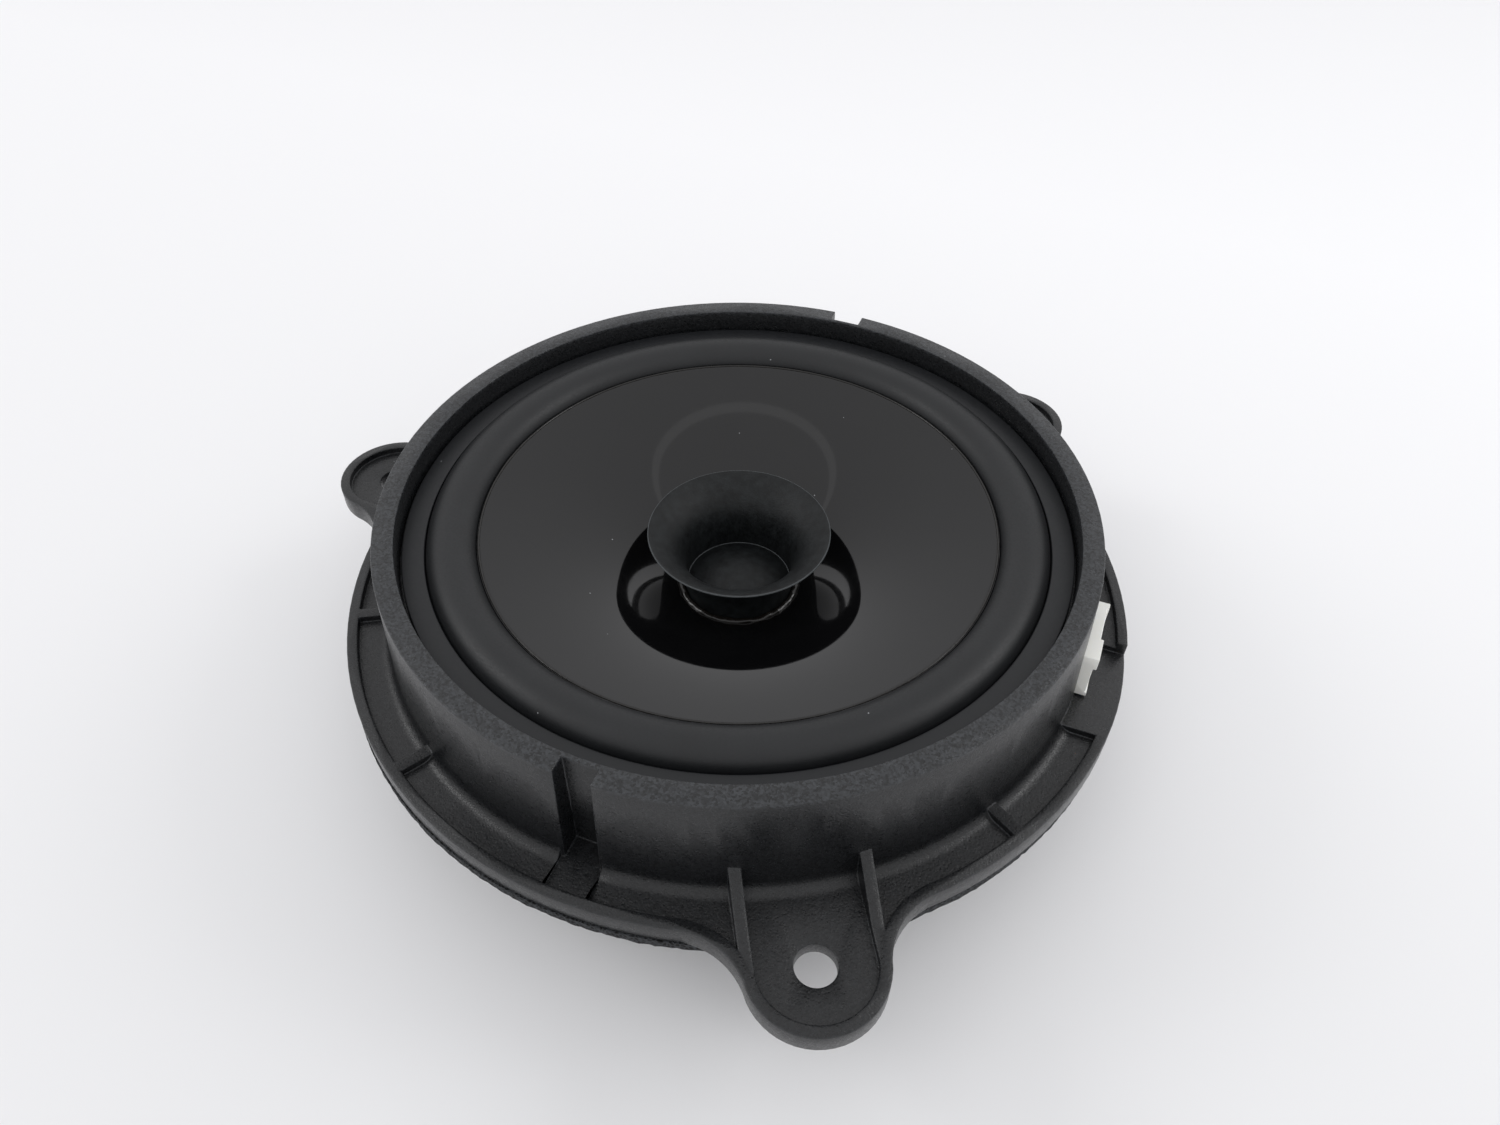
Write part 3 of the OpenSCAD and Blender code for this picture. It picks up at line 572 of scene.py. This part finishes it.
def clampRing():
    inner, outer, low, high, r = (ring[k] for k in ("inner", "outer", "low", "high", "round"))
    outline = [(inner, low)] + arc(inner + r, high - r, r, 180, 90, 5)
    outline += [((inner + outer) / 2, high + 0.02)]
    outline += arc(outer - r, high - r, r, 90, 0, 5) + [(outer, low)]
    piece = finishPiece("clamp_ring", spinOutline(outline, ring["steps"]), "board")
    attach(piece, "root")
    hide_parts("gasket_ring")


roll = {"middle": 66.2, "half": 5.4, "height": 4.7, "base": 23.8, "inner": 59.2, "outer": 77.0,
        "fillet": 0.7, "wall": 0.6, "steps": 300, "blendIn": 60.4, "blendOut": 72}


def rubberSurround():
    crown = [(roll["middle"] - roll["half"] * math.cos(math.radians(a)),
              roll["base"] + roll["height"] * math.sin(math.radians(a)) ** 0.92) for a in range(8, 173, 4)]
    inner = [(roll["inner"] + (roll["middle"] - roll["half"] - roll["fillet"] - roll["inner"]) * i / 4,
              roll["base"]) for i in range(5)]
    outerStart = roll["middle"] + roll["half"] + roll["fillet"]
    outer = [(outerStart + (roll["outer"] - outerStart) * i / 4, roll["base"]) for i in range(5)]
    bm = spinOutline(thicken(inner + crown + outer, roll["wall"]), roll["steps"])
    piece = finishPiece("rubber_surround", bm, "rubber", 60)
    blendByRadius(piece, roll["blendIn"], roll["blendOut"])
    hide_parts("surround")


edgeBead = {"middle": 60.05, "base": 25.03, "half": 0.3, "height": 0.32, "steps": 360}


def edgeGlue():
    outline = [(edgeBead["middle"] + edgeBead["half"] * math.cos(math.radians(a)),
                edgeBead["base"] + edgeBead["height"] * math.sin(math.radians(a)))
               for a in range(0, 181, 20)]
    bm = spinOutline(outline, edgeBead["steps"])
    roughen(bm, 1.6, 0.06, seed=2)
    piece = finishPiece("edge_glue_bead", bm, "glue", 60)
    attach(piece, "diaphragm")
    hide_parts("edge_adhesive")


clampRing()
rubberSurround()
edgeGlue()
print("ring, surround and edge glue made")


# cone, whizzer, dust cap and neck glue

cone = {"edgeR": 60.3, "edgeZ": 25.2, "straightFall": 15.3, "curvedFall": 6.7, "power": 2.9, "neckR": 14.0,
        "wall": 0.7, "collarLow": 1.0, "rings": 56, "steps": 320}


def coneHeight(r):  # height of the cone's front face at a radius, mm
    share = (cone["edgeR"] - r) / (cone["edgeR"] - cone["neckR"])
    return cone["edgeZ"] - cone["straightFall"] * share - cone["curvedFall"] * share ** cone["power"]


def coneShell():
    half = cone["wall"] / 2
    span = cone["edgeR"] - cone["neckR"]
    radii = [cone["edgeR"] - span * i / cone["rings"] for i in range(cone["rings"])]
    path = [(r, coneHeight(r) - half) for r in radii]
    path += [(cone["neckR"] - half + 0.1, coneHeight(cone["neckR"]) - 0.8),
             (cone["neckR"] - half, cone["collarLow"])]
    piece = finishPiece("cone_shell", spinOutline(thicken(path, cone["wall"]), cone["steps"]), "cone", 50)
    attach(piece, "diaphragm")
    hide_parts("cone")


whizzer = {"neckR": 13.04, "neckLow": 1.4, "flareLow": 3.6, "mouthR": 21.6, "mouthZ": 20.35, "power": 4.0,
           "wall": 0.42, "rise": 48, "steps": 200}


def whizzerCone():
    path = [(whizzer["neckR"], whizzer["neckLow"] + (whizzer["flareLow"] - whizzer["neckLow"]) * i / 4)
            for i in range(4)]
    for i in range(whizzer["rise"] + 1):
        s = i / whizzer["rise"]
        path.append((whizzer["neckR"] + (whizzer["mouthR"] - whizzer["neckR"]) * s ** whizzer["power"],
                     whizzer["flareLow"] + (whizzer["mouthZ"] - whizzer["flareLow"]) * s))
    bm = spinOutline(thicken(path, whizzer["wall"]), whizzer["steps"])
    roughen(bm, 2.4, 0.035, seed=7)
    piece = finishPiece("whizzer_paper_cone", bm, "paper", 60)
    piece.data.materials.append(looks["paperEdge"])
    for face in piece.data.polygons:  # the cut edge of the mouth
        if face.center.xy.length > (whizzer["mouthR"] - 0.06) * mm:
            face.material_index = 1
    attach(piece, "diaphragm")
    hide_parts("whizzer_cone")


cap = {"rimR": 12.55, "rimZ": 3.7, "rise": 3.2, "wall": 0.45, "rings": 30, "steps": 160}


def dustCap():
    path = [(cap["rimR"] * (1 - i / cap["rings"]),
             cap["rimZ"] + cap["rise"] * (1 - (1 - i / cap["rings"]) ** 2)) for i in range(cap["rings"])]
    path.append((0.0, cap["rimZ"] + cap["rise"]))
    outline = thicken(path, cap["wall"])
    outline = [(max(0.0, r), z) for r, z in outline]
    bm = spinOutline(outline, cap["steps"])
    bmesh.ops.remove_doubles(bm, verts=bm.verts, dist=1e-5)
    roughen(bm, 1.8, 0.03, seed=9)
    piece = finishPiece("dust_cap_dome", bm, "paper", 60)
    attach(piece, "diaphragm")
    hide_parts("dust_cap")


capEdge = {"middle": 12.62, "height": 4.02, "radius": 0.13, "steps": 200}


def capEdgeRing():  # the trimmed edge of the cap, turned up against the whizzer
    outline = arc(capEdge["middle"], capEdge["height"], capEdge["radius"], 0, 315, 7)
    piece = finishPiece("dust_cap_edge", spinOutline(outline, capEdge["steps"]), "paperEdge", 80)
    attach(piece, "diaphragm")


neckBead = {"middle": 14.1, "half": 0.9, "low": 3.2, "height": 1.25, "steps": 300}


def neckGlue():
    outline = [(neckBead["middle"] + neckBead["half"] * math.cos(math.radians(a)),
                neckBead["low"] + neckBead["height"] * max(0, math.sin(math.radians(a))) ** 0.8)
               for a in range(0, 181, 12)]
    bm = spinOutline(outline, neckBead["steps"])
    roughen(bm, 1.7, 0.22, seed=3, keep=lambda p: p.z < (neckBead["low"] + 0.2) * mm)
    piece = finishPiece("neck_glue_bead", bm, "glue", 60)
    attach(piece, "diaphragm")
    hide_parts("neck_adhesive")


coneShell()
whizzerCone()
dustCap()
capEdgeRing()
neckGlue()
print("cone group made")


# voice coil, its former and the spider

coil = {"formerIn": 12.45, "formerOut": 12.8, "formerLow": -20.3, "formerTop": 3.4,
        "wireR": 0.15, "pitch": 0.3, "low": -19.6, "high": -10.4, "turnSteps": 60,
        "formerSteps": 128}


def coilFormer():
    inner, outer, low, top = (coil[k] for k in ("formerIn", "formerOut", "formerLow", "formerTop"))
    heights = [low + (top - low) * i / 12 for i in range(13)]
    outline = [(outer, z) for z in heights] + [(inner, z) for z in heights[::-1]]
    piece = finishPiece("coil_former_film", spinOutline(outline, coil["formerSteps"]), "film")
    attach(piece, "diaphragm")
    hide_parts("voice_coil_former")


def coilWinding():
    turns = int((coil["high"] - coil["low"]) / coil["pitch"])
    bm = bmesh.new()
    section = bmesh.ops.create_circle(bm, cap_ends=False, segments=6, radius=coil["wireR"] * mm)["verts"]
    upright = Quaternion((1, 0, 0), math.pi / 2).to_matrix()
    bmesh.ops.rotate(bm, verts=section, cent=(0, 0, 0), matrix=upright)
    start = ((coil["formerOut"] + coil["wireR"]) * mm, 0, coil["low"] * mm)
    bmesh.ops.translate(bm, verts=section, vec=start)
    bmesh.ops.spin(bm, geom=section + bm.edges[:], cent=(0, 0, 0), axis=(0, 0, 1),
                   dvec=(0, 0, coil["pitch"] * mm / coil["turnSteps"]), angle=math.tau * turns,
                   steps=turns * coil["turnSteps"], use_merge=False)
    bmesh.ops.holes_fill(bm, edges=[e for e in bm.edges if e.is_boundary])
    bmesh.ops.recalc_face_normals(bm, faces=bm.faces)
    piece = finishPiece("coil_winding", bm, "copper", 70)
    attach(piece, "diaphragm")
    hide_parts("voice_coil")


spider = {"neckR": 13.14, "middleZ": -4.3, "innerR": 14.2, "outerR": 38.0, "rimR": 41.3,
          "waves": 5, "waveH": 1.1, "wall": 0.5, "steps": 200}


def spiderDisc():
    z, inner, outer = spider["middleZ"], spider["innerR"], spider["outerR"]
    path = [(spider["neckR"] + 0.05, z + 1.0), (spider["neckR"] + 0.05, z + 0.6),
            (spider["neckR"] + 0.3, z + 0.15)]
    count = spider["waves"] * 12
    path += [(inner + (outer - inner) * i / count, z + spider["waveH"] * math.sin(math.tau * i / 12))
             for i in range(count + 1)]
    path += [(outer + (spider["rimR"] - outer) * i / 4, z) for i in range(1, 5)]
    bm = spinOutline(thicken(path, spider["wall"]), spider["steps"])
    piece = finishPiece("spider_cloth_disc", bm, "cloth", 60)
    blendByRadius(piece, spider["innerR"], spider["outerR"])
    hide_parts("spider")


coilFormer()
coilWinding()
spiderDisc()
print("coil and spider made")


# motor

motor = {
    "top_plate_steel": {"node": "top_plate", "look": "zinc", "slot": "plated_steel", "round": 0.35},
    "magnet_ring": {"node": "magnet", "look": "ferrite", "slot": "ferrite", "round": 0.4},
    "yoke_steel": {"node": "yoke", "look": "zinc", "slot": "plated_steel", "round": 0.5},
    "screw_set": {"node": "motor_screws", "look": "zinc", "slot": "screw_steel", "round": 0.15},
}
for name, part in motor.items():
    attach(roundedPiece(name, part["node"], part["look"], part["round"]), "root")
print("motor made")


# connector

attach(roundedPiece("connector_shell", "connector_housing", "nylon", 0.2), "root")
blades = {"positive": {"y": 0.6, "height": 6.3}, "negative": {"y": 6.5, "height": 4.8}}
strip = {"z": 10.8, "half": 0.4, "backX": 75.5, "tipX": 84.0, "tailX": 72.5, "tailHalf": 1.5, "round": 0.12}


def terminalBlade(name, blade):
    bm = bmesh.new()
    y, tall = blade["y"], blade["height"] / 2
    z, half = strip["z"], strip["half"]
    addBox(bm, (strip["backX"], y - half, z - tall), (strip["tipX"], y + half, z + tall), strip["round"])
    tip = [v for v in bm.verts if v.co.x > (strip["tipX"] - 0.2) * mm]  # thinned so that a plug slides on
    bmesh.ops.scale(bm, verts=tip, vec=(1, 0.45, 0.82),
                    space=Matrix.Translation((-strip["tipX"] * mm, -y * mm, -z * mm)))
    addBox(bm, (strip["tailX"], y - half, z - strip["tailHalf"]),
           (strip["backX"] + 0.5, y + half, z + strip["tailHalf"]), strip["round"])
    piece = finishPiece("blade_" + name, bm, "brass")
    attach(piece, "root")
    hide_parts("terminal_" + name)


for name, blade in blades.items():
    terminalBlade(name, blade)
print("connector made")


# tinsel leads

leads = {
    "positive": [(72.5, 0.6, 10.8), (70.5, 0.6, 10.8), (68, 0.6, 10), (65, 0.4, 8.9),
                 (61, 0.1, 7.8), (57, -0.3, 7.3), (53, -0.8, 7.5), (49, -1.2, 8.2),
                 (45, -1.5, 9.4), (41, -1.8, 10.5), (37.5, -2, 11.8), (34.6, -2, 12.8)],
    "negative": [(72.5, 6.5, 10.8), (70.5, 6.5, 10.8), (68, 6.5, 10), (65, 6.7, 8.9),
                 (61, 7, 7.8), (57, 7.4, 7.3), (53, 7.8, 7.5), (49, 8.2, 8.2),
                 (45, 8.5, 9.4), (41, 8.8, 10.5), (37.5, 9, 11.6), (34.6, 9, 12.8)],
}
braid = {"strands": 6, "strandR": 0.2, "radius": 0.55, "turnMm": 5.0, "pointsPerTurn": 14}


def spread(points, step):  # even points along a smooth line through the given ones, mm
    def spline(a, b, c, d, t):
        return 0.5 * ((2 * b) + (c - a) * t + (2 * a - 5 * b + 4 * c - d) * t * t
                      + (3 * b - a - 3 * c + d) * t ** 3)
    p = [Vector(q) for q in points]
    p = [2 * p[0] - p[1]] + p + [2 * p[-1] - p[-2]]
    dense = [spline(*p[i - 1:i + 3], k / 20) for i in range(1, len(p) - 2) for k in range(20)] + [p[-2]]
    made, left = [dense[0]], step
    for a, b in zip(dense, dense[1:]):
        left -= (b - a).length
        if left <= 0:
            made.append(b)
            left += step
    return made


def tinselLead(name, route):
    step = braid["turnMm"] / braid["pointsPerTurn"]
    line = spread(route, step)
    shape = bpy.data.curves.new("lead_strands", "CURVE")
    shape.dimensions = "3D"
    shape.bevel_depth = braid["strandR"] * mm
    shape.bevel_resolution = 1
    for hand in (1, -1):
        for strand in range(braid["strands"] // 2):
            spline = shape.splines.new("POLY")
            spline.points.add(len(line) - 1)
            for i, centre in enumerate(line):
                ahead = (line[min(i + 1, len(line) - 1)] - line[max(i - 1, 0)]).normalized()
                side = ahead.cross(Vector((0, 0, 1))).normalized()
                turn = (hand * math.tau * i / braid["pointsPerTurn"]
                        + math.tau * strand / (braid["strands"] // 2))
                weave = braid["radius"] + 0.08 * math.cos(turn * 3 * hand)
                place = centre + (side * math.cos(turn) + side.cross(ahead) * math.sin(turn)) * weave
                spline.points[i].co = (*(place * mm), 1)
    holder = bpy.data.objects.new("lead_strands", shape)
    bpy.context.scene.collection.objects.link(holder)
    bpy.context.view_layer.update()
    mesh = bpy.data.meshes.new_from_object(holder.evaluated_get(bpy.context.evaluated_depsgraph_get()))
    bpy.data.objects.remove(holder)
    bm = bmesh.new()
    bm.from_mesh(mesh)
    bmesh.ops.holes_fill(bm, edges=[e for e in bm.edges if e.is_boundary])
    bmesh.ops.recalc_face_normals(bm, faces=bm.faces)
    piece = finishPiece("tinsel_lead_" + name, bm, "tinsel", 60)
    start, end = Vector(route[1]) * mm, Vector(route[-1]) * mm
    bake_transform(piece, "root", "diaphragm", start=start, end=end)
    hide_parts("lead_" + name)


for name, route in leads.items():
    tinselLead(name, route)
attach(roundedPiece("lead_eyelets", "cone_eyelets", "brass", 0.12), "diaphragm")
print("leads made")


# table, light and camera

studio = {"table": 3.0, "bright": (-0.05, 0.4, 0.9), "low": 0.76, "high": 0.86}
lamps = {
    "front": {"at": (0.15, -0.8, 1.0), "size": (1.4, 0.8), "power": 3.0, "mirrored": False},
    "left": {"at": (-0.95, -0.28, 0.8), "size": (0.35, 0.5), "power": 1.9, "mirrored": True},
    "right": {"at": (0.82, 0.42, 0.8), "size": (0.35, 0.5), "power": 1.9, "mirrored": True},
    "seam": {"at": (-0.08, 0.25, 1.0), "size": (2.2, 0.04), "power": 0.07, "mirrored": True},
}
shot = {"aim": (10.07, -18.94, 31.0), "azimuth": 20.8, "elevation": 45.22, "distance": 238.46,
        "lens": 26.4, "roll": 0.84}


def groundTable():
    bm = bmesh.new()
    bmesh.ops.create_grid(bm, x_segments=24, y_segments=24, size=studio["table"] / 2)
    bmesh.ops.translate(bm, verts=bm.verts, vec=(0, 0, cadLow.z))
    finishPiece("table", bm, "table")


def roomLight():  # brightest overhead and behind the speaker, dimmer from the side the viewer stands on
    world = bpy.data.worlds.new("room")
    bpy.context.scene.world = world
    world.use_nodes = True
    tree = world.node_tree
    way = addNode(tree, "TexCoord").outputs["Generated"]
    bright = Vector(studio["bright"]).normalized()
    facing = addNode(tree, "VectorMath", {"operation": "DOT_PRODUCT", 1: bright}, {0: way})
    glow = addNode(tree, "MapRange", {"From Min": -0.3, "From Max": 0.9, "To Min": studio["low"],
                                      "To Max": studio["high"]}, {"Value": facing.outputs["Value"]})
    tree.links.new(glow.outputs[0], tree.nodes["Background"].inputs["Strength"])
    tree.nodes["Background"].inputs["Color"].default_value = linear("#fdfdff")
    for name, lamp in lamps.items():
        data = bpy.data.lights.new(name, "AREA")
        data.shape = "RECTANGLE"
        data.size, data.size_y = lamp["size"]
        data.energy = lamp["power"]
        holder = bpy.data.objects.new(name, data)
        holder.location = lamp["at"]
        holder.rotation_euler = Vector(lamp["at"]).to_track_quat("Z", "Y").to_euler()
        holder.visible_glossy = lamp["mirrored"]
        bpy.context.scene.collection.objects.link(holder)


def shotCamera():
    data = bpy.data.cameras.new("shot")
    data.sensor_width = 36
    data.lens = shot["lens"]
    data.clip_start = 0.005
    camera = bpy.data.objects.new("shot", data)
    around, up = math.radians(shot["azimuth"]), math.radians(shot["elevation"])
    back = Vector((math.sin(around) * math.cos(up), -math.cos(around) * math.cos(up), math.sin(up)))
    camera.location = (Vector(shot["aim"]) + back * shot["distance"]) * mm
    camera.rotation_mode = "QUATERNION"
    tilt = Quaternion((0, 0, 1), math.radians(shot["roll"]))
    camera.rotation_quaternion = (-back).to_track_quat("-Z", "Y") @ tilt
    bpy.context.scene.collection.objects.link(camera)
    bpy.context.scene.camera = camera


groundTable()
roomLight()
shotCamera()
bpy.context.scene.view_settings.view_transform = "Standard"
print("studio set")
